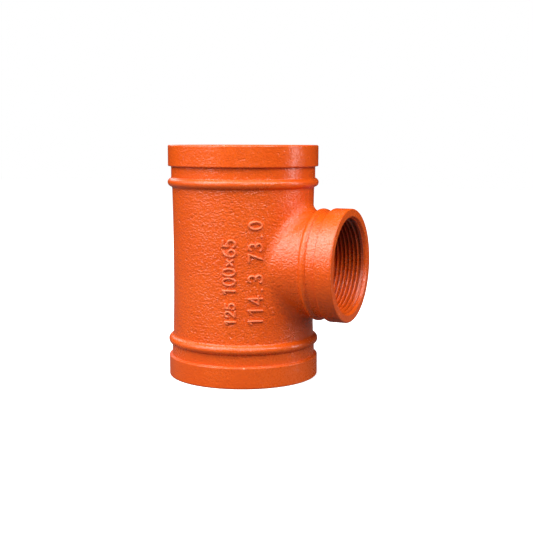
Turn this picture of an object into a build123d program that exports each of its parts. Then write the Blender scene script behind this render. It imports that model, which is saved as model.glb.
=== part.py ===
from build123d import *
import math
import os

os.makedirs("parts", exist_ok=True)

# A grooved reducing tee: one iron casting with a straight run, grooved at both
# ends for clamped couplings, and a smaller side outlet tapped for screwed pipe.
# The run stands along +Z on its lower end, whose centre is the origin, and the
# outlet points along +X. Lengths are in millimetres.

# Run ends, to the standard cut groove of 4 inch pipe
run_pipe_d = 114.3           # outside of the pipe size, over the gasket land
run_centre_to_end = 88.0
gasket_land = 15.88          # end face to the groove
groove_width = 8.74
groove_depth = 2.35
groove_wall = 4.3            # iron left under the groove

# Body between the grooves, drawn in a little at mid-length
body_inset = 3.05            # how far the body lies below the pipe size
body_waist = 0.6
waist_length = 50.0          # straight stretch at mid-length
body_wall = 5.6
mouth_depth = 26.0           # each end is cored wider, as deep as its groove
mouth_step = 4.0             # length of the cone down to the body's core

# Outlet, tapped for 2 1/2 inch taper pipe thread
outlet_reach = 30.85         # how far its face stands beyond the pipe size
thread_root_d = 72.0         # wall of the tapped hole at its mouth
thread_length = 27.0
shoulder_height = 3.5        # from the tapped wall down to the waterway
shoulder_length = 3.0
neck_wall = 6.3
collar_length = 13.2
outlet_groove_width = 7.0
outlet_groove_step = 1.2     # groove's floor above the neck
outlet_groove_depth = 2.1    # collar above the groove's floor

# Half-round beads, each centred on the surface that it stands on
bead_radius = 3.4
outlet_bead_radius = 2.9
bead_flats = 6               # even flats that make up a bead's round

# Blends and bevelled edges
saddle_radius = 10.0         # blend between body and neck
core_saddle_radius = 4.0     # the same inside, between the two bores
bead_foot_bevel = 1.0
outlet_bead_foot_bevel = 0.7
end_edge_bevel = 0.8
outlet_edge_bevel = 0.8
groove_edge_bevel = 0.6
run_mouth_bevel = 0.8
thread_mouth_bevel = 0.35

# Working values
spill = 2.0                  # how far a cutting shape runs past a face
neck_sink = 0.1              # how far the outlet bead's foot dips under the neck
most_of_room = 0.9

run_length = 2 * run_centre_to_end
run_r = run_pipe_d / 2
groove_r = run_r - groove_depth
body_r = run_r - body_inset
core_r = body_r - body_wall
mouth_r = groove_r - groove_wall
waist_start = run_centre_to_end - waist_length / 2
bead_reach = math.sqrt(bead_radius**2 - (groove_r - body_r) ** 2)
bead_z = gasket_land + groove_width + bead_reach

outlet_centre_to_end = run_r + outlet_reach
root_r = thread_root_d / 2
waterway_r = root_r - shoulder_height
neck_r = waterway_r + neck_wall
outlet_groove_r = neck_r + outlet_groove_step
collar_r = outlet_groove_r + outlet_groove_depth
outlet_groove_end = outlet_centre_to_end - collar_length
outlet_bead_reach = math.sqrt(outlet_bead_radius**2 - outlet_groove_step**2)
outlet_bead_x = outlet_groove_end - outlet_groove_width - outlet_bead_reach
thread_end = outlet_centre_to_end - thread_length
shoulder_end = thread_end - shoulder_length

body_half_length = run_centre_to_end - bead_z - bead_radius - bead_foot_bevel
saddle_room = most_of_room * (body_half_length - neck_r)

# Flat profiles are drawn as (distance from the axis, distance along it).
run_plane = Plane.XZ
outlet_plane = Plane((0, 0, run_centre_to_end), x_dir=(0, 0, 1), z_dir=(0, 1, 0))
outlet_axis = Axis((0, 0, run_centre_to_end), (1, 0, 0))


def outline(corners):
    """Closed flat face from (across, along, bevel) triples."""
    points = [(across, along) for across, along, _ in corners]
    profile = make_face(Polyline(*points, close=True))
    for across, along, bevel in corners:
        if bevel:
            corner = profile.vertices().sort_by_distance((across, along, 0))[0]
            profile = chamfer(corner, bevel)
    return profile


def both_ends(corners):
    """The corners of the run's lower end, then the same for its upper end."""
    upper = [(across, run_length - along, bevel) for across, along, bevel in corners]
    return corners + upper[::-1]


def bead(across, along, radius, near, far):
    """Corners of a bead that is centred at (across, along).

    near and far are (level, bevel) for the feet that it rises from and lands on:
    the foot's distance from the axis and its bevel. Between them the bead passes
    over in even flats, with their corners on a circle.
    """
    start = math.asin((near[0] - across) / radius)
    end = math.pi - math.asin((far[0] - across) / radius)
    turns = [start + (end - start) * step / bead_flats for step in range(bead_flats + 1)]
    bevels = [near[1]] + [0] * (bead_flats - 1) + [far[1]]
    return [
        (across + radius * math.sin(turn), along - radius * math.cos(turn), bevel)
        for turn, bevel in zip(turns, bevels)
    ]


def blended(run, branch, radius):
    """Joins a branch to the run and fillets the curve where they meet."""
    joined = run + branch
    return fillet(new_edges(run, branch, combined=joined), radius)


def run_outside():
    """Outside of the run: gasket lands, grooves, beads and waisted body."""
    end = [
        (0, 0, 0),
        (run_r, 0, end_edge_bevel),
        (run_r, gasket_land, groove_edge_bevel),
        (groove_r, gasket_land, 0),
        *bead(body_r, bead_z, bead_radius, (groove_r, 0), (body_r, bead_foot_bevel)),
        (body_r - body_waist, waist_start, 0),
    ]
    return revolve(run_plane * outline(both_ends(end)), Axis.Z)


def neck():
    """Plain neck from the run's axis out to the middle of the outlet's bead."""
    profile = outline([(0, 0, 0), (neck_r, 0, 0), (neck_r, outlet_bead_x, 0), (0, outlet_bead_x, 0)])
    return revolve(outlet_plane * profile, outlet_axis)


def outlet_end():
    """Bead, groove and collar at the outlet, turned about its axis."""
    foot_r = neck_r - neck_sink
    start = outlet_bead_x - outlet_bead_radius - outlet_bead_foot_bevel - spill
    near_foot, far_foot = (foot_r, outlet_bead_foot_bevel), (outlet_groove_r, 0)
    profile = outline([
        (0, start, 0),
        (foot_r, start, 0),
        *bead(neck_r, outlet_bead_x, outlet_bead_radius, near_foot, far_foot),
        (outlet_groove_r, outlet_groove_end, 0),
        (collar_r, outlet_groove_end, groove_edge_bevel),
        (collar_r, outlet_centre_to_end, outlet_edge_bevel),
        (0, outlet_centre_to_end, 0),
    ])
    return revolve(outlet_plane * profile, outlet_axis)


def run_core():
    """Space inside the run, wider at both ends and bevelled at the mouths."""
    end = [
        (0, -spill, 0),
        (mouth_r + run_mouth_bevel + spill, -spill, 0),
        (mouth_r, run_mouth_bevel, 0),
        (mouth_r, mouth_depth, 0),
        (core_r, mouth_depth + mouth_step, 0),
        (core_r - body_waist, waist_start, 0),
    ]
    return revolve(run_plane * outline(both_ends(end)), Axis.Z)


def waterway():
    """Bore of the outlet from the run's axis to the thread's shoulder."""
    profile = outline([(0, 0, 0), (waterway_r, 0, 0), (waterway_r, thread_end, 0), (0, thread_end, 0)])
    return revolve(outlet_plane * profile, outlet_axis)


def tapped_hole():
    """Wall that the thread is cut in, with its shoulder and bevelled mouth."""
    mouth = outlet_centre_to_end
    profile = outline([
        (0, shoulder_end, 0),
        (waterway_r, shoulder_end, 0),
        (root_r, thread_end, 0),
        (root_r, mouth - thread_mouth_bevel, 0),
        (root_r + thread_mouth_bevel + spill, mouth + spill, 0),
        (0, mouth + spill, 0),
    ])
    return revolve(outlet_plane * profile, outlet_axis)


def tee_casting():
    """The whole casting: outside forms joined, then the bores taken out."""
    outside = blended(run_outside(), neck(), min(saddle_radius, saddle_room))
    outside += outlet_end()
    inside = blended(run_core(), waterway(), core_saddle_radius)
    return outside - inside - tapped_hole()


export_step(tee_casting(), "parts/tee_casting.step")
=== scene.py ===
import math

import bmesh
import bpy
import numpy as np
from mathutils import Matrix, Vector


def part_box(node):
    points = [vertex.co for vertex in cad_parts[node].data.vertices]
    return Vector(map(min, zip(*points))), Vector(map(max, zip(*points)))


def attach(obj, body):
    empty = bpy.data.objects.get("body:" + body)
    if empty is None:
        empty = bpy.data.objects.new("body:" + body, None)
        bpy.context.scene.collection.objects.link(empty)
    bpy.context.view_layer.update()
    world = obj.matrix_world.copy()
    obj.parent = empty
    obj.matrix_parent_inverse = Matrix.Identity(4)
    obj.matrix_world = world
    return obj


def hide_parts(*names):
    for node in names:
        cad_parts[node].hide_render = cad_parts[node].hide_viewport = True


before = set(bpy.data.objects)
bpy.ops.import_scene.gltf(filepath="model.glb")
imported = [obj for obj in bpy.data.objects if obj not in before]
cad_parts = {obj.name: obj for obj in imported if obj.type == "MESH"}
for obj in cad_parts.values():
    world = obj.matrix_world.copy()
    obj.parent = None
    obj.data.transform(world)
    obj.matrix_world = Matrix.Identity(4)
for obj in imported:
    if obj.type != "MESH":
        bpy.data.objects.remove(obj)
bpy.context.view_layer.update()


# The camera
# It stands just above the level of the fitting's top and looks down a little, from the
# outlet's side, so that the outlet points to the right and a little towards it.
METRES = 0.001
run_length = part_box("tee_casting")[1].z / METRES
mid_height = run_length / 2

camera_distance = 762.0          # from the run's axis, in millimetres
camera_rise = 91.0               # above the run's middle
outlet_turn = 0.4553             # radians that the outlet is turned out of the picture's plane
look_right = 0.0234              # radians, as are the next two
look_down = 0.12545
lean = 0.0019
focal_length = 67.24             # millimetres, as is the sensor's width
sensor_width = 36.0
nearest_seen = 0.01              # metres

aim = Vector((math.sin(look_right) * math.cos(look_down),
              math.cos(look_right) * math.cos(look_down),
              -math.sin(look_down)))
level_right = Vector((math.cos(look_right), -math.sin(look_right), 0))
level_up = level_right.cross(aim)
right = math.cos(lean) * level_right + math.sin(lean) * level_up
up = math.cos(lean) * level_up - math.sin(lean) * level_right
turned = Matrix((right, up, -aim)).transposed().to_4x4()
turned.translation = Vector((0, -camera_distance, mid_height + camera_rise)) * METRES

camera = bpy.data.objects.new("camera", bpy.data.cameras.new("camera"))
bpy.context.scene.collection.objects.link(camera)
camera.matrix_world = Matrix.Rotation(outlet_turn, 4, "Z") @ turned
camera.data.sensor_width = sensor_width
camera.data.lens = focal_length
camera.data.clip_start = nearest_seen
bpy.context.scene.camera = camera


# The casting: run ends
# Sand cast in ductile iron, with a land, a groove and a bead at each end for a
# clamped coupling. The edges are rounded by casting and by the paint.
run_radius = 57.15
gasket_land = 15.88
groove_radius = 54.8
body_radius = 54.1
body_waist = 0.6
body_wall = 5.6
bead_radius = 3.38
bead_centre = 27.95              # height of the lower bead above the end face
bead_foot = 1.5
groove_root = 0.5
end_edge = 1.0
groove_edge = 0.7
mouth_radius = 50.5
mouth_depth = 26.0
mouth_step = 4.0
mouth_step_round = 3.0
mouth_step_foot = 0.75           # rounding where that step meets the body's core
mouth_bevel = 0.8
mouth_edge = 0.4
sheet_start = 33.0               # height where the body's outside takes over
core_start = 31.0                # the same inside
around_run = 144                 # facets around the run


def body_outside(height):
    """Radius of the body: a parabola in the height, least at the run's middle."""
    waist_half = mid_height - bead_centre - bead_radius
    return body_radius - body_waist * (1 - ((height - mid_height) / waist_half) ** 2)


def arc(centre, radius, start, end, steps):
    """Points on a circle, centre + radius * (cos a, sin a), a in degrees from start to end."""
    angle = np.radians(np.linspace(start, end, steps))
    return np.stack([centre[0] + radius * np.cos(angle), centre[1] + radius * np.sin(angle)], 1)


def rounded(corners, steps=5):
    """Line through corners of (along, across, radius), rounded where radius isn't 0.

    The arc's centre lies on the bisector, at radius / sin(half the corner's angle),
    and the arc turns from the foot of one side's normal to that of the other.
    """
    points = np.array([corner[:2] for corner in corners], float)
    line = [points[:1]]
    for before, here, after, (_, _, radius) in zip(points, points[1:], points[2:], corners[1:-1]):
        if not radius:
            line.append(here[None])
            continue
        back = (before - here) / np.linalg.norm(before - here)
        ahead = (after - here) / np.linalg.norm(after - here)
        half = math.acos(np.clip(back @ ahead, -1, 1)) / 2
        bisector = (back + ahead) / np.linalg.norm(back + ahead)
        centre = here + bisector * radius / math.sin(half)
        first = here + back * radius / math.tan(half) - centre
        last = here + ahead * radius / math.tan(half) - centre
        start = math.degrees(math.atan2(first[1], first[0]))
        sweep = math.degrees(math.atan2(first[0] * last[1] - first[1] * last[0], first @ last))
        line.append(arc(centre, radius, start, start + sweep, steps))
    line.append(points[-1:])
    return np.concatenate(line)


def bead_line(along, across, radius, near, far, steps=13, foot_steps=5):
    """Section of a round bead with a fillet at each foot, as points (along, across).

    near and far are (level, fillet). Each fillet's centre is its radius above its
    level and one radius plus the other from the bead's centre, so that it touches both.
    """
    lift = [level + fillet - across for level, fillet in (near, far)]
    reach = [math.sqrt((radius + fillet) ** 2 - rise**2) for (_, fillet), rise in zip((near, far), lift)]
    slope = [math.degrees(math.atan2(rise, side)) for rise, side in zip(lift, reach)]
    rising = arc((along - reach[0], near[0] + near[1]), near[1], -90, -slope[0], foot_steps)
    over = arc((along, across), radius, 180 - slope[0], slope[1], steps)
    landing = arc((along + reach[1], far[0] + far[1]), far[1], 180 + slope[1], 270, foot_steps)
    return np.concatenate([rising, over[1:-1], landing])


def propped(line, reach=0.35):
    """The same line with a point close to each end of every long straight, to keep it flat."""
    step = np.diff(line, axis=0)
    length = np.linalg.norm(step, axis=1)
    start, long = line[:-1], length > 4 * reach
    inset = step * (reach / np.maximum(length, reach))[:, None]
    trio = np.stack([start, start + inset, line[1:] - inset], 1)
    keep = np.stack([length > 0, long, long], 1)
    return np.concatenate([trio[keep], line[-1:]])


land_and_mouth = rounded([
    (core_start, body_outside(core_start) - body_wall, 0),
    (mouth_depth + mouth_step, body_outside(core_start) - body_wall, mouth_step_foot),
    (mouth_depth, mouth_radius, mouth_step_round),
    (mouth_bevel, mouth_radius, mouth_edge),
    (0, mouth_radius + mouth_bevel, mouth_edge),
    (0, run_radius, end_edge),
    (gasket_land, run_radius, groove_edge),
    (gasket_land, groove_radius, groove_root),
    (bead_centre - 2 * bead_radius + groove_root, groove_radius, 0),
])
end_outline = propped(np.concatenate([
    land_and_mouth[:-1],
    bead_line(bead_centre, body_radius, bead_radius, (groove_radius, groove_root),
              (body_outside(sheet_start), bead_foot)),
    [[sheet_start, body_outside(sheet_start)]],
]))


def turned_end(outline, upper):
    """Surface of revolution: (across * cos a, across * sin a, along), a around the run.

    For the upper end the distance along is taken from the other end of the run.
    """
    angle = np.linspace(-math.pi, math.pi, around_run, endpoint=False)
    along, across = outline[:, :1], outline[:, 1:]
    height = run_length - along if upper else along
    return np.stack([across * np.cos(angle), across * np.sin(angle), height + 0 * angle], -1)


# The casting: body and outlet
# The outlet's neck grows out of the body through a rolled blend. Its mouth has a small
# bead, a shallow groove and a thick collar, all cast in one with the run.
up_the_back = 24                 # facets up the back of the body
neck_radius = 38.8
saddle = 10.0
outlet_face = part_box("tee_casting")[1].x / METRES
outlet_bead = 2.9
outlet_bead_centre = 65.16
outlet_bead_foot = 1.0
outlet_groove_radius = 40.0
outlet_groove_end = 74.8
outlet_groove_root = 0.5
collar_radius = 42.1
collar_edge = 0.7
face_edge = 1.0
chamfer_radius = 36.5            # where the thread's chamfer meets the face
chamfer_slope = 0.5              # how fast it narrows inwards
chamfer_edge = 0.2
thread_begins = 0.5              # depth at which the tapped wall takes over from the face
waterway_radius = 32.5
core_saddle = 4.0
trial_steps = 400                # places tried to find where the blend ends
touching = 0.001                 # a blend no further above the bead than this lies on it
blend_rows = 13
sheet_rows = 29
sheet_gather = 1.5               # power that gathers a sheet's rows towards the blend
neck_least = 0.5                 # shortest neck between blend and bead
bead_rows = 12
bead_steps = 41                  # points over the bead
bead_thinned = 3                 # one in so many of them is kept on its outer side
groove_drawn = 3.0               # length of the groove's floor that is drawn with the collar


def unrolled_border(half_height):
    """(angle, height) of points around the body's sheet, unrolled and cut at the back.

    The border runs up one side of the cut, around the top, down the other side and
    back around the bottom, with around_run points along the top and bottom each.
    """
    turn = np.linspace(math.pi, -math.pi, around_run, endpoint=False)
    climb = np.linspace(-half_height, half_height, up_the_back, endpoint=False)
    angle = [np.full(up_the_back, math.pi), turn, np.full(up_the_back, -math.pi), -turn]
    height = [climb, np.full(around_run, half_height), -climb, np.full(around_run, -half_height)]
    return np.concatenate(angle), np.concatenate(height)


def rolled_blend(outer_radius, branch_radius, ball, around, turn):
    """Blend between the run's cylinder and a branch's, as a ball rolled round the corner.

    around is the angle about the branch, from +y towards +z. The ball's centre lies one
    ball radius outside both cylinders. The surface is the arc between its two points of
    contact, turned from the run's (turn 0) to the branch's (turn 1).
    """
    centre_y = (branch_radius + ball) * np.cos(around)
    centre_z = (branch_radius + ball) * np.sin(around)
    from_axis = outer_radius(mid_height + centre_z) + ball
    centre_x = np.sqrt(from_axis**2 - centre_y**2)
    to_run = -np.stack([centre_x, centre_y, 0 * around], -1) / from_axis[:, None]
    to_branch = -np.stack([0 * around, np.cos(around), np.sin(around)], -1)
    swing = np.arccos((to_run * to_branch).sum(-1))[None, :, None]
    turn = turn[..., None]
    spoke = (np.sin((1 - turn) * swing) * to_run + np.sin(turn * swing) * to_branch) / np.sin(swing)
    return np.stack([centre_x, centre_y, centre_z + mid_height], -1) + ball * spoke


def sheet(outer_radius, foot, half_height, shares):
    """Cylinder's surface from the branch's foot out to the border, unrolled and straight.

    Each point of the foot is joined to its point of the border by a straight line on
    the unrolled surface, and shares says how far along that line each row lies.
    """
    border_angle, border_height = unrolled_border(half_height)
    foot_angle = np.arctan2(foot[:, 1], foot[:, 0])
    angle = foot_angle + shares[:, None] * (border_angle - foot_angle)
    height = foot[:, 2] + shares[:, None] * (border_height + mid_height - foot[:, 2])
    radius = outer_radius(height)
    return np.stack([radius * np.cos(angle), radius * np.sin(angle), height], -1)


def about_outlet(along, across, around):
    """Points at a distance across from the outlet's axis, at an angle around it."""
    y, z = across * np.cos(around), across * np.sin(around)
    return np.stack([along + 0 * y, y, z + mid_height], -1)


border_angle, border_height = unrolled_border(mid_height - sheet_start)
ray = np.unwrap(np.arctan2(border_height, body_radius * border_angle))

bead_outline = bead_line(outlet_bead_centre, neck_radius, outlet_bead, (neck_radius, outlet_bead_foot),
                         (outlet_groove_radius, outlet_groove_root), bead_steps)
crest = int(bead_outline[:, 1].argmax())
rise = np.concatenate([[[0, neck_radius]], bead_outline[:crest + 1]])
rise_length = np.concatenate([[0], np.cumsum(np.linalg.norm(np.diff(rise, axis=0), axis=1))])

# The blend ends on the neck, or sooner where it runs into the foot of the bead.
fine_turn = np.repeat(np.linspace(0, 1, trial_steps)[:, None], len(ray), 1)
fine = rolled_blend(body_outside, neck_radius, saddle, ray, fine_turn)
fine_across = np.hypot(fine[..., 1], fine[..., 2] - mid_height)
buried = np.interp(fine[..., 0], rise[:, 0], rise[:, 1]) > fine_across + touching
last_turn = np.where(buried.any(0), fine_turn[buried.argmax(0), 0], 1.0)
blend = rolled_blend(body_outside, neck_radius, saddle, ray,
                     np.linspace(0, 1, blend_rows)[:, None] * last_turn)
around = np.unwrap(np.arctan2(blend[-1, :, 2] - mid_height, blend[-1, :, 1]))

body_rows = sheet(body_outside, blend[0], mid_height - sheet_start,
                  np.linspace(1, 0, sheet_rows)[:-1] ** sheet_gather)

neck_start = np.interp(blend[-1, :, 0], rise[:, 0], rise_length)
bead_start = np.maximum(rise_length[1], neck_start + neck_least)
neck_share = np.array([0.04, 0.5, 0.96, 1.0])[:, None]
bead_share = np.linspace(0, 1, bead_rows)[1:, None]
on_rise = np.concatenate([neck_start + neck_share * (bead_start - neck_start),
                          bead_start + bead_share * (rise_length[-1] - bead_start)])
neck_rows = about_outlet(np.interp(on_rise, rise_length, rise[:, 0]),
                         np.interp(on_rise, rise_length, rise[:, 1]), around)

mouth_outline = propped(np.concatenate([bead_outline[crest::bead_thinned], rounded([
    (outlet_groove_end - groove_drawn, outlet_groove_radius, 0),
    (outlet_groove_end, outlet_groove_radius, outlet_groove_root),
    (outlet_groove_end, collar_radius, collar_edge),
    (outlet_face, collar_radius, face_edge),
    (outlet_face, chamfer_radius, chamfer_edge),
    (outlet_face - thread_begins, chamfer_radius - thread_begins * chamfer_slope, 0),
])]))[1:]
mouth_rows = about_outlet(mouth_outline[:, :1], mouth_outline[:, 1:], around)


# The casting: thread and bores
# The outlet's bore is cut with a right-hand taper thread, eight turns to the inch. Both
# bores are cored, and the paint has run over the edges of all of them.
thread_pitch = 3.175
thread_depth = 2.4
thread_mean = 34.7
thread_taper = 1 / 32            # loss of radius for each length further in
thread_end = 61.0
shoulder_end = 58.0
shoulder_height = 3.5
paint_ease = 1.5                 # how far paint rounds the crests and roots
thread_steps = 112               # rows along the thread
core_blend_rows = 8
core_rows_out = 22


def threaded_wall(along, around):
    """Radius of the tapped wall.

    A triangle wave, one pitch long, that moves on by one pitch for each turn around the
    outlet, and is eased by tanh towards its crests and roots. The wave rides on a cone.
    The chamfer widens it at the mouth and the shoulder closes it at the inner end.
    """
    turns = along / thread_pitch - around / (2 * math.pi)
    wave = 4 * np.abs(turns - np.floor(turns) - 0.5) - 1
    eased = np.tanh(paint_ease * wave) / math.tanh(paint_ease)
    wall = thread_mean - thread_taper * (outlet_face - along) + thread_depth / 2 * eased
    chamfer = chamfer_radius - chamfer_slope * (outlet_face - along)
    shoulder = waterway_radius + (along - shoulder_end) * shoulder_height / (thread_end - shoulder_end)
    return np.minimum(np.maximum(wall, chamfer), np.maximum(shoulder, waterway_radius))


thread_along = np.linspace(outlet_face - thread_begins, shoulder_end, thread_steps)[1:, None] + 0 * around
thread_rows = about_outlet(thread_along, threaded_wall(thread_along, around), around)


def core_wall(height):
    """Radius of the run's core: the body's outside less its wall."""
    return body_outside(height) - body_wall


core_blend = rolled_blend(core_wall, waterway_radius, core_saddle, around,
                          np.linspace(1, 0, core_blend_rows)[:, None] + 0 * around)
pipe_share = np.array([0.03, 0.35, 0.65, 0.97])[:, None]
pipe_along = shoulder_end + pipe_share * (core_blend[0, :, 0] - shoulder_end)
pipe_rows = about_outlet(pipe_along, waterway_radius + 0 * pipe_along, around)
core_rows = sheet(core_wall, core_blend[-1], mid_height - core_start,
                  np.linspace(0, 1, core_rows_out)[1:] ** sheet_gather)

through_outlet = np.concatenate([body_rows, blend, neck_rows, mouth_rows, thread_rows, pipe_rows,
                                 core_blend, core_rows])


def grid_faces(rows, columns, first):
    """Quads of a grid that is closed across its columns, numbered from first."""
    row, column = np.meshgrid(np.arange(rows - 1), np.arange(columns), indexing="ij")
    beside = (column + 1) % columns
    corners = [row * columns + column, row * columns + beside,
               (row + 1) * columns + beside, (row + 1) * columns + column]
    return np.stack(corners, -1).reshape(-1, 4) + first


def piece(name, grids, weld=2e-6):
    """One closed mesh from grids that share their borders, with faces outward.

    Points closer than weld, in metres, become one.
    """
    points = np.concatenate([grid.reshape(-1, 3) for grid in grids]) * METRES
    first = np.cumsum([0] + [grid.shape[0] * grid.shape[1] for grid in grids[:-1]])
    faces = np.concatenate([grid_faces(*grid.shape[:2], start) for grid, start in zip(grids, first)])
    mesh = bpy.data.meshes.new(name)
    mesh.from_pydata(points, [], faces)
    work = bmesh.new()
    work.from_mesh(mesh)
    bmesh.ops.remove_doubles(work, verts=work.verts, dist=weld)
    bmesh.ops.recalc_face_normals(work, faces=work.faces)
    work.to_mesh(mesh)
    work.free()
    mesh.shade_smooth()
    made = bpy.data.objects.new(name, mesh)
    bpy.context.scene.collection.objects.link(made)
    return made


casting = piece("painted_tee", [turned_end(end_outline, False), turned_end(end_outline, True),
                                through_outlet])
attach(casting, "root")
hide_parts("tee_casting")


# The paint
# Orange primer paint, semi-gloss, sprayed over the casting as it comes from the sand, so
# that the body keeps an orange-peel skin. The machined lands are smoother. The thread is
# darkened with painted shade, most in its roots and under its roof, and the raised strokes
# are paler, partly from thin paint and partly as a painted highlight.
paint_full = (0.81, 0.108, 0.0055, 1)
paint_thin = (0.76, 0.087, 0.0040, 1)
paint_nick = (0.86, 0.42, 0.24, 1)
# painted shade: the dark colour that the thread's roots and roof are drawn towards
thread_painted_shade = (0.11, 0.013, 0.0035, 1)
paint_index = 1.58               # how strongly its surface reflects
paint_roughness = 0.20
fine_roughness = 0.08
drift_roughness = 0.04
drift_share = 0.6                # part of the colour's change that is slow, the rest is fine
drift_levels = (0.3, 0.7)        # noise below and above these is all thin or all full paint
stroke_wear_and_highlight = 0.10               # how far the strokes pale towards a nick's colour: partly thin paint, partly a painted highlight on their crests
stroke_wear_and_highlight_drift = 0.08
root_painted_shade = 0.95                  # how far the roots darken towards the painted shade's colour
low_root_painted_shade = 0.35              # part of that in the lowest roots
roof_painted_shade = 0.72                  # the same painted shade for all of the thread, at its roof

# Lengths in the paint are in metres, and a grain is a number of lumps in a metre.
drift_grain = 28.0
fleck_grain = 300.0
roughness_grain = 700.0
skin_bottom, skin_top = 0.031, 0.145
skin_edge = 0.002                # half of the length over which the skin gives way to a land
skin_grain = 520.0
skin_squash = (1, 1, 1.45)       # makes the lumps flatter than they are wide
skin_bend, bend_grain = 0.0042, 150.0
skin_cells, cell_softness = 0.3, 0.5
skin_relief = 0.00074
land_relief = 0.42               # shares of the skin's relief
numeral_relief = 0.34
pit_grain, pit_depth = 240.0, 0.35
pit_levels = (0.68, 0.76)
swell_grain, swell_height = 90.0, 0.21
collar_start, collar_smoothing = 0.066, 0.5
thread_start, thread_stop, thread_fade = 0.058, 0.0857, 0.0008
thread_widest = (0.0372, 0.0376)          # distances from the outlet's axis where the painted shade stops
painted_shade_roots = (0.0336, 0.0356)            # the same, between which the painted shade deepens in the roots
painted_shade_roof = (0.062, 0.112)               # heights between which the painted shade deepens under the roof
nicks = [(0.02537, -0.05121, 0.0156, 0.0011), (0.0122, -0.0556, 0.1755, 0.0009)]  # place, radius
nick_core = 0.7
nick_wobble, nick_grain = 0.0006, 1800.0


class Field:
    """A socket of a material. Arithmetic on Fields and numbers adds Math nodes."""

    def __init__(self, socket):
        self.socket = socket

    def node(self, kind, settings=None, sockets=None, output=0):
        """Adds a node to the same material, sets it up, and gives one of its outputs."""
        made = self.socket.id_data.nodes.new(kind)
        for name, value in (settings or {}).items():
            setattr(made, name, value)
        for name, value in (sockets or {}).items():
            if isinstance(value, Field):
                self.socket.id_data.links.new(value.socket, made.inputs[name])
            else:
                made.inputs[name].default_value = value
        return Field(made.outputs[output])

    def math(self, operation, *terms):
        """A Math node on numbers."""
        return self.node("ShaderNodeMath", {"operation": operation}, dict(enumerate(terms)))

    def vector(self, operation, *terms, output=0):
        """A Vector Math node on this vector and other ones."""
        sockets = dict(enumerate((self, *terms)))
        return self.node("ShaderNodeVectorMath", {"operation": operation}, sockets, output)

    def __add__(self, other):
        if self.socket.type == "VECTOR":
            return self.vector("ADD", other)
        return self.math("ADD", self, other)

    def __sub__(self, other):
        return self.math("SUBTRACT", self, other)

    def __rsub__(self, other):
        return self.math("SUBTRACT", other, self)

    def __mul__(self, other):
        if self.socket.type in ("VECTOR", "RGBA"):
            return self.node("ShaderNodeVectorMath", {"operation": "SCALE"}, {0: self, "Scale": other})
        return self.math("MULTIPLY", self, other)

    __radd__ = __add__
    __rmul__ = __mul__

    def part(self, letter):
        """One of a vector's coordinates, X, Y or Z."""
        return self.node("ShaderNodeSeparateXYZ", {}, {0: self}, letter)

    def rises(self, start, end):
        """0 below start, 1 above end, and a smooth step between them."""
        return self.node("ShaderNodeMapRange", {"interpolation_type": "SMOOTHSTEP"},
                         {"Value": self, "From Min": start, "From Max": end})


def noise(place, grain, detail=2.0):
    """Noise between 0 and 1 at a place."""
    return place.node("ShaderNodeTexNoise", {}, {"Vector": place, "Scale": grain, "Detail": detail}, "Fac")


def noise_vector(place, grain):
    """Three noises as one vector, each between 0 and 1."""
    return place.node("ShaderNodeTexNoise", {}, {"Vector": place, "Scale": grain, "Detail": 1.0}, "Color")


def mixed(share, below, above):
    """A colour between two colours, by a share from 0 to 1."""
    return share.node("ShaderNodeMix", {"data_type": "RGBA"}, {0: share, 6: below, 7: above}, 2)


def coarse_skin(place):
    """1 on the body and the neck, 0 on the run's ends, and between the two on the collar."""
    along, height = place.part("X"), place.part("Z")
    coarse = height.rises(skin_bottom - skin_edge, skin_bottom + skin_edge)
    coarse = coarse * (1 - height.rises(skin_top - skin_edge, skin_top + skin_edge))
    return coarse * (1 - collar_smoothing * along.rises(collar_start - 2 * skin_edge, collar_start))


def skin_height(place, relief):
    """Height of the skin: squashed and bent lumps less a few pits, on a slow swell."""
    bent = place.vector("MULTIPLY", skin_squash) + skin_bend * noise_vector(place, bend_grain)
    cells = bent.node("ShaderNodeTexVoronoi", {"feature": "SMOOTH_F1"},
                      {"Vector": bent, "Scale": skin_grain, "Smoothness": cell_softness}, "Distance")
    peel = (1 - skin_cells) * noise(bent, skin_grain) + skin_cells * cells
    pits = noise(place, pit_grain, 1.0).rises(*pit_levels)
    return relief * (peel - pit_depth * pits) + swell_height * noise(place, swell_grain, 1.0)


def add_thread_painted_shade(colour, place):
    """The colour with painted shade on the thread, darkest in the roots and up under the roof."""
    along = place.part("X")
    across = place.vector("SUBTRACT", (0, 0, mid_height * METRES)).vector("MULTIPLY", (0, 1, 1))
    from_axis = across.vector("LENGTH", output="Value")
    in_thread = along.rises(thread_start, thread_start + skin_edge)
    in_thread = in_thread * (1 - along.rises(thread_stop - thread_fade, thread_stop))
    in_thread = in_thread * (1 - from_axis.rises(*thread_widest))
    roots = in_thread * from_axis.rises(*painted_shade_roots)
    roof = place.part("Z").rises(*painted_shade_roof)
    colour = mixed(root_painted_shade * roots * (low_root_painted_shade + (1 - low_root_painted_shade) * roof), colour, thread_painted_shade)
    return mixed(roof_painted_shade * in_thread * roof, colour, thread_painted_shade)


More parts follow.
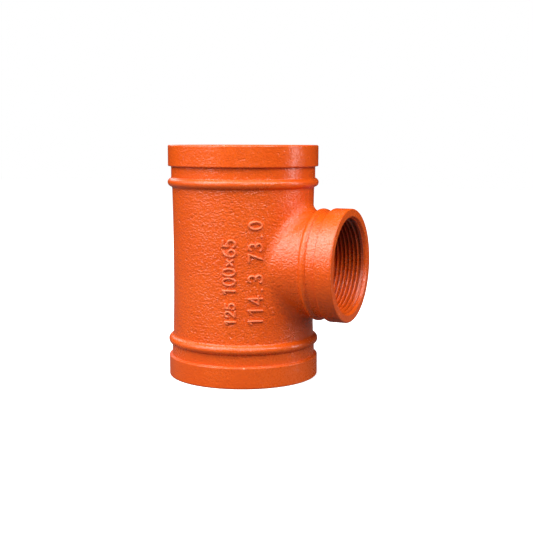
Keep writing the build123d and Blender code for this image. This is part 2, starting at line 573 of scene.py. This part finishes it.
def painted(name, cast_skin):
    """The paint's material. cast_skin is False for the numerals, which are smoother."""
    material = bpy.data.materials.new(name)
    material.use_nodes = True
    nodes, links = material.node_tree.nodes, material.node_tree.links
    shader = nodes["Principled BSDF"]
    place = Field(nodes.new("ShaderNodeTexCoord").outputs["Object"])

    drift = noise(place, drift_grain, 3.0).rises(*drift_levels)
    flecks = noise(place, fleck_grain).rises(*drift_levels)
    colour = mixed(drift_share * drift + (1 - drift_share) * flecks, paint_thin, paint_full)
    if cast_skin:
        relief = land_relief + (1 - land_relief) * coarse_skin(place)
        # painted shade on the thread, darkest in its roots and under its roof
        colour = add_thread_painted_shade(colour, place)
    else:
        relief = numeral_relief
        # the strokes pale towards a nick's colour: partly thin paint, partly a painted highlight on their
        # crests
        colour = mixed(stroke_wear_and_highlight + stroke_wear_and_highlight_drift * drift, colour, paint_nick)
    for x, y, z, size in nicks:
        ragged = place.vector("DISTANCE", (x, y, z), output="Value") + nick_wobble * noise(place, nick_grain)
        colour = mixed(1 - ragged.rises(nick_core * size, size), colour, paint_nick)

    height = skin_height(place, relief)
    bump = height.node("ShaderNodeBump", {}, {"Height": height, "Strength": 1.0, "Distance": skin_relief},
                       "Normal")
    roughness = paint_roughness + fine_roughness * noise(place, roughness_grain) + drift_roughness * drift
    links.new(colour.socket, shader.inputs["Base Color"])
    links.new(roughness.socket, shader.inputs["Roughness"])
    links.new(bump.socket, shader.inputs["Normal"])
    shader.inputs["IOR"].default_value = paint_index
    return material


casting.data.materials.append(painted("painted_casting", True))


# Raised numerals
# The sizes of the two ends stand out of the body in two upright lines, cast from
# letters on the pattern: plain strokes with round backs, sunk a little into the skin.
numeral_stroke = 1.95            # width of a stroke, in millimetres
numeral_rise = 1.3
numeral_root = 0.5               # depth that a stroke is sunk
line_points = 12
bow_points = 40
back_points = 9                  # over a stroke's round back
stroke_tip = 0.02                # share of its size that a stroke keeps at its ends
facing = -63.65                  # degrees around the run that face the camera
numeral_lines = [                # text, degrees from facing, lowest height, letter height, spacing
    ("100x65", -11.5, 68.5, 9.6, 6.9),
    ("125", -10.7, 46.5, 7.6, 5.8),
    ("114.3", 9.0, 46.0, 10.6, 7.8),
    ("73.0", 9.0, 92.5, 10.0, 7.8),
]


def line(start, end):
    """Straight stroke from start to end."""
    share = np.linspace(0, 1, line_points)[:, None]
    return np.array(start) + share * (np.array(end, float) - np.array(start))


def bow(centre, half_width, half_height, start, end):
    """Curved stroke: centre + (half_width * cos a, half_height * sin a), a in degrees."""
    angle = np.radians(np.linspace(start, end, bow_points))
    return np.stack([centre[0] + half_width * np.cos(angle), centre[1] + half_height * np.sin(angle)], 1)


# Each numeral is drawn in a cell one letter high, with its foot at 0.
numeral_strokes = {
    "0": [bow((0.30, 0.50), 0.26, 0.47, 90, 450)],
    "1": [line((0.34, 0.03), (0.34, 0.97)), line((0.14, 0.80), (0.34, 0.97))],
    "2": [np.concatenate([bow((0.30, 0.71), 0.25, 0.26, 165, -35), line((0.48, 0.52), (0.05, 0.03)),
                          line((0.07, 0.03), (0.57, 0.03))])],
    "3": [bow((0.28, 0.73), 0.22, 0.24, 150, -90), bow((0.28, 0.26), 0.26, 0.23, 90, -150)],
    "4": [line((0.42, 0.03), (0.42, 0.97)), line((0.42, 0.97), (0.04, 0.30)),
          line((0.04, 0.30), (0.60, 0.30))],
    "5": [line((0.52, 0.97), (0.13, 0.97)), line((0.13, 0.97), (0.09, 0.56)),
          bow((0.28, 0.32), 0.27, 0.29, 130, -145)],
    "6": [bow((0.30, 0.29), 0.25, 0.26, 90, 450), bow((0.50, 0.30), 0.45, 0.67, 180, 105)],
    "7": [line((0.04, 0.97), (0.56, 0.97)), line((0.56, 0.97), (0.22, 0.03))],
    "x": [line((0.10, 0.22), (0.50, 0.66)), line((0.10, 0.66), (0.50, 0.22))],
    ".": [line((0.27, 0.04), (0.30, 0.04))],
}


def ridge(path):
    """Closed ridge along a path of (around, up) in millimetres on the body.

    The section is half an ellipse over a sunk root. Towards both ends it shrinks as the
    root of 1 - (distance from the end / half the stroke) squared, which rounds the ends.
    """
    step = np.gradient(path, axis=0)
    ahead = step / np.linalg.norm(step, axis=1)[:, None]
    aside = np.stack([-ahead[:, 1], ahead[:, 0]], 1)
    half = numeral_stroke / 2
    cap = np.array([-1.0, -0.97, -0.85, -0.6, -0.3])
    start = path[0] + ahead[0] * cap[:, None] * half
    end = path[-1] - ahead[-1] * cap[::-1, None] * half
    path = np.concatenate([start, path, end])
    aside = np.concatenate([aside[:1].repeat(len(cap), 0), aside, aside[-1:].repeat(len(cap), 0)])
    shrink = np.sqrt(1 - cap**2) + stroke_tip
    size = np.concatenate([shrink, np.ones(len(step)), shrink[::-1]])[:, None]
    turn = np.radians(np.linspace(0, 180, back_points))
    across = np.concatenate([np.cos(turn), [-1, 1]]) * half
    rise = np.concatenate([numeral_rise * np.sin(turn), [-numeral_root, -numeral_root]])
    place = path[:, None] + aside[:, None] * (across * size)[..., None]
    lift = np.where(rise > 0, rise * size, rise)
    return np.concatenate([place, lift[..., None]], -1)


def on_body(ridge_points, degrees, bottom, letter, spacing, index):
    """Wraps a ridge onto the body, reading upwards: the letter's top points to the left."""
    along, up = ridge_points[..., 0], ridge_points[..., 1]
    height = bottom + index * spacing + along
    radius = body_outside(height) + ridge_points[..., 2]
    angle = np.radians(facing + degrees) + (letter / 2 - up) / body_radius
    return np.stack([radius * np.cos(angle), radius * np.sin(angle), height], -1)


def capped(rows):
    """The same grid with both ends drawn to their middles, so that the tube is closed."""
    return np.concatenate([rows[:1].mean(1, keepdims=True).repeat(rows.shape[1], 1), rows,
                           rows[-1:].mean(1, keepdims=True).repeat(rows.shape[1], 1)])


numeral_grids = [
    capped(on_body(ridge(stroke * letter), degrees, bottom, letter, spacing, index))
    for text, degrees, bottom, letter, spacing in numeral_lines
    for index, sign in enumerate(text)
    for stroke in numeral_strokes[sign]
]
numerals = piece("raised_numerals", numeral_grids)
numerals.data.materials.append(painted("painted_numerals", False))
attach(numerals, "root")


# The floor
# A pale sheet that shows white to the camera and keeps the fitting's soft shadow.
floor_size = 3.0
floor_pale = 0.85                # its colour to the camera
floor_bounce = 0.10              # its colour to the light that it sends back
floor_glow = 0.55                # its own light near the fitting, which leaves the shadow visible
glow_near, glow_far = 0.10, 0.40          # distances between which that grows to full white
floor_mesh = bpy.data.meshes.new("floor")
corners = [(-floor_size, -floor_size, 0), (floor_size, -floor_size, 0), (floor_size, floor_size, 0),
           (-floor_size, floor_size, 0)]
floor_mesh.from_pydata(corners, [], [(0, 1, 2, 3)])
floor = bpy.data.objects.new("floor", floor_mesh)
bpy.context.scene.collection.objects.link(floor)
pale = bpy.data.materials.new("pale_floor")
pale.use_nodes = True
pale_shader = pale.node_tree.nodes["Principled BSDF"]
floor_place = Field(pale.node_tree.nodes.new("ShaderNodeTexCoord").outputs["Object"])
seen = floor_place.node("ShaderNodeLightPath", output="Is Camera Ray")
away = floor_place.vector("LENGTH", output="Value")
glow = seen * (floor_glow + (1 - floor_glow) * away.rises(glow_near, glow_far))
tint = mixed(seen, (floor_bounce,) * 3 + (1,), (floor_pale,) * 3 + (1,))
glow_colour = mixed(glow, (0, 0, 0, 1), (1, 1, 1, 1))
pale.node_tree.links.new(tint.socket, pale_shader.inputs["Base Color"])
pale.node_tree.links.new(glow_colour.socket, pale_shader.inputs["Emission Color"])
pale_shader.inputs["Emission Strength"].default_value = 1.0
pale_shader.inputs["Roughness"].default_value = 0.9
pale_shader.inputs["Specular IOR Level"].default_value = 0.0
floor.data.materials.append(pale)


# The light
# Most of it comes from broad soft boxes on the left, with weaker ones in front, on the
# right, overhead and behind, and a narrow strip that lights the outlet's side. Each is
# (name, degrees to the right of the camera, degrees up, distance, width, height,
# watts), and faces the middle of the fitting.
soft_boxes = [
    ("left_box", -57, 32, 1.2, 0.85, 0.90, 9.8),
    ("left_high_box", -60, 56, 1.2, 0.70, 0.50, 6.6),
    ("left_side_box", -95, 30, 1.2, 0.50, 1.00, 2.2),
    ("front_box", 2, 30, 1.2, 0.60, 0.40, 3.8),
    ("front_high_box", 0, 58, 1.2, 0.70, 0.40, 3.6),
    ("right_box", 45, 40, 1.2, 0.50, 0.50, 6.4),
    ("right_strip", 83, 20, 1.1, 0.20, 1.00, 3.6),
    ("overhead_box", 0, 84, 1.0, 0.70, 0.50, 2.5),
    ("back_box", 207, 35, 1.2, 0.80, 0.80, 4.2),
]
for name, across, above, distance, width, tall, watts in soft_boxes:
    lamp = bpy.data.lights.new(name, "AREA")
    lamp.shape, lamp.size, lamp.size_y, lamp.energy = "RECTANGLE", width, tall, watts
    box = bpy.data.objects.new(name, lamp)
    turn, lift = math.radians(facing + across), math.radians(above)
    out = Vector((math.cos(turn) * math.cos(lift), math.sin(turn) * math.cos(lift), math.sin(lift)))
    box.matrix_world = (Matrix.Translation(Vector((0, 0, mid_height * METRES)) + distance * out)
                        @ out.to_track_quat("Z", "Y").to_matrix().to_4x4())
    bpy.context.scene.collection.objects.link(box)

room_light = 0.02                # the room's light on the fitting, against 1 to the camera
world = bpy.data.worlds.new("studio")
world.use_nodes = True
bpy.context.scene.world = world
room = world.node_tree.nodes["Background"]
shown = Field(world.node_tree.nodes.new("ShaderNodeLightPath").outputs["Is Camera Ray"])
world.node_tree.links.new((room_light + (1 - room_light) * shown).socket, room.inputs["Strength"])
room.inputs["Color"].default_value = (1, 1, 1, 1)


# The picture
# Colours show as they are written.
scene = bpy.context.scene
scene.view_settings.view_transform = "Standard"
